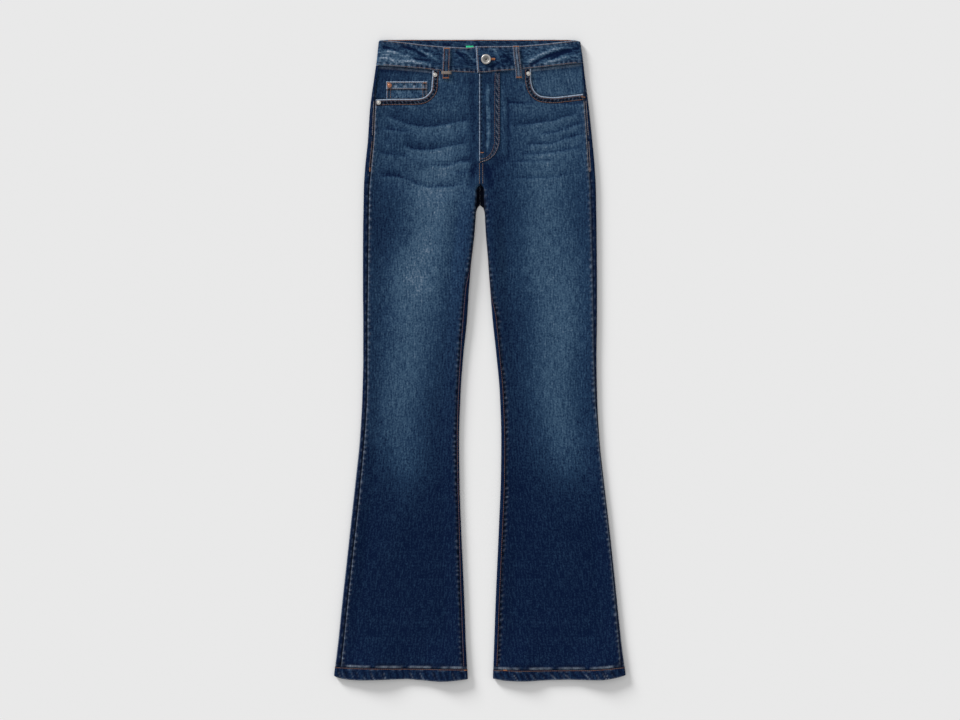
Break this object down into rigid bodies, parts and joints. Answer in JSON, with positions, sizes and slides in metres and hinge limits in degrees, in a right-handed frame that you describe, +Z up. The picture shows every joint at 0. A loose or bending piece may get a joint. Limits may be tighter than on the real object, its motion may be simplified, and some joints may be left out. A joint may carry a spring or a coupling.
{
  "type": "flared jeans",
  "caption": "High-rise five-pocket denim jeans with flared legs, laid flat with the front up: zip fly, shank button, belt loops and turned hems.",
  "frame": {"origin": "middle of the garment's bounding box, on the surface that it lies on", "axes": "+Z up off the surface, out of the garment's front; +Y toward the waist; +X toward the wearer's left"},
  "size_m": [0.4956, 1.0898, 0.0118],
  "materials": {
    "denim": "stretch denim, faded at the thighs and knees",
    "dark_denim": "unfaded denim",
    "zip_tape": "woven tape",
    "keeper_tape": "pale woven tape",
    "label_weave": "plain green weave",
    "pewter": "satin",
    "copper": "satin copper"
  },
  "bodies": {
    "root": {"front_leg_right": "denim", "front_leg_left": "denim", "back_leg_right": "denim", "back_leg_left": "denim", "yoke_right": "denim", "yoke_left": "denim", "waistband": "dark_denim", "hem_right": "denim", "hem_left": "denim", "pocket_facing_right": "dark_denim", "pocket_facing_left": "dark_denim", "coin_pocket": "denim", "fly": "denim", "zip": "zip_tape", "belt_loop_front_right": "dark_denim", "belt_loop_front_left": "dark_denim", "loop_keeper": "keeper_tape", "belt_loop_side_right": "dark_denim", "belt_loop_centre_back": "dark_denim", "belt_loop_side_left": "dark_denim", "back_pocket_right": "denim", "back_pocket_left": "denim", "label": "label_weave", "button": "pewter", "rivet_mouth_right_top": "pewter", "rivet_mouth_right_side": "pewter", "rivet_mouth_left_top": "pewter", "rivet_coin_pocket": "copper"}
  },
  "joints": []
}
